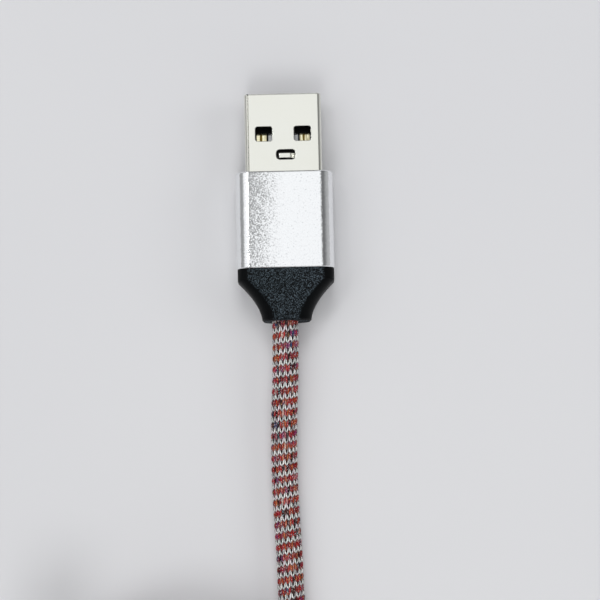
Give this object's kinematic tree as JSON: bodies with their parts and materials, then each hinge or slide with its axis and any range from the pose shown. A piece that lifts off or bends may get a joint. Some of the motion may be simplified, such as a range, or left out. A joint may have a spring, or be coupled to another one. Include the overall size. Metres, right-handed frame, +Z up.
{
  "type": "charging cable",
  "caption": "Charging cable: flat charger plug with aluminium sleeve and tapered strain relief, knitted red and white cord coiled in a tie, small reversible phone plug.",
  "frame": {"origin": "under the middle of the charger plug, on the surface that the cable lies on", "axes": "+Y along the charger plug to its mouth, +Z up from the surface with the plug's windows up, +X to the right"},
  "size_m": [0.0511, 0.1347, 0.0206],
  "materials": {
    "nickel_shell": "nickel plated, satin",
    "black_insulator": "moulded",
    "gold_contact": "gold plated",
    "tinned_contact": "plated",
    "spring_steel": "bare",
    "aluminium_sleeve": "sand blasted and anodised",
    "inner_mould": "moulded",
    "black_elastomer": "fine textured",
    "knitted_jacket": "knitted red and white yarn with glittering thread",
    "tie_strap": "woven",
    "red_lead": "smooth",
    "black_lead": "smooth",
    "white_lead": "smooth",
    "green_lead": "smooth",
    "circuit_board": "lacquered",
    "resistor": "ceramic"
  },
  "bodies": {
    "root": {"charger_plug_cord_end": "knitted_jacket", "charger_plug_crimp": "spring_steel", "charger_plug_data_minus_contact": "tinned_contact", "charger_plug_data_minus_lead": "white_lead", "charger_plug_data_plus_contact": "tinned_contact", "charger_plug_data_plus_lead": "green_lead", "charger_plug_ground_contact": "gold_contact", "charger_plug_ground_lead": "black_lead", "charger_plug_housing": "aluminium_sleeve", "charger_plug_inner_mould": "inner_mould", "charger_plug_insulator": "black_insulator", "charger_plug_power_contact": "gold_contact", "charger_plug_power_lead": "red_lead", "charger_plug_shell": "nickel_shell", "charger_plug_strain_relief": "black_elastomer", "cord_coil": "knitted_jacket", "cord_front": "knitted_jacket", "cord_tail": "knitted_jacket", "cord_tie": "tie_strap", "phone_plug_board": "circuit_board", "phone_plug_cord_end": "knitted_jacket", "phone_plug_crimp": "spring_steel", "phone_plug_data_minus_lead": "white_lead", "phone_plug_data_plus_lead": "green_lead", "phone_plug_ground_lead": "black_lead", "phone_plug_housing": "aluminium_sleeve", "phone_plug_inner_mould": "inner_mould", "phone_plug_insulator": "black_insulator", "phone_plug_latch": "spring_steel", "phone_plug_lower_contacts": "gold_contact", "phone_plug_lower_ground_spring": "spring_steel", "phone_plug_power_lead": "red_lead", "phone_plug_resistor": "resistor", "phone_plug_shell": "nickel_shell", "phone_plug_strain_relief": "black_elastomer", "phone_plug_upper_contacts": "gold_contact", "phone_plug_upper_ground_spring": "spring_steel"}
  },
  "joints": []
}
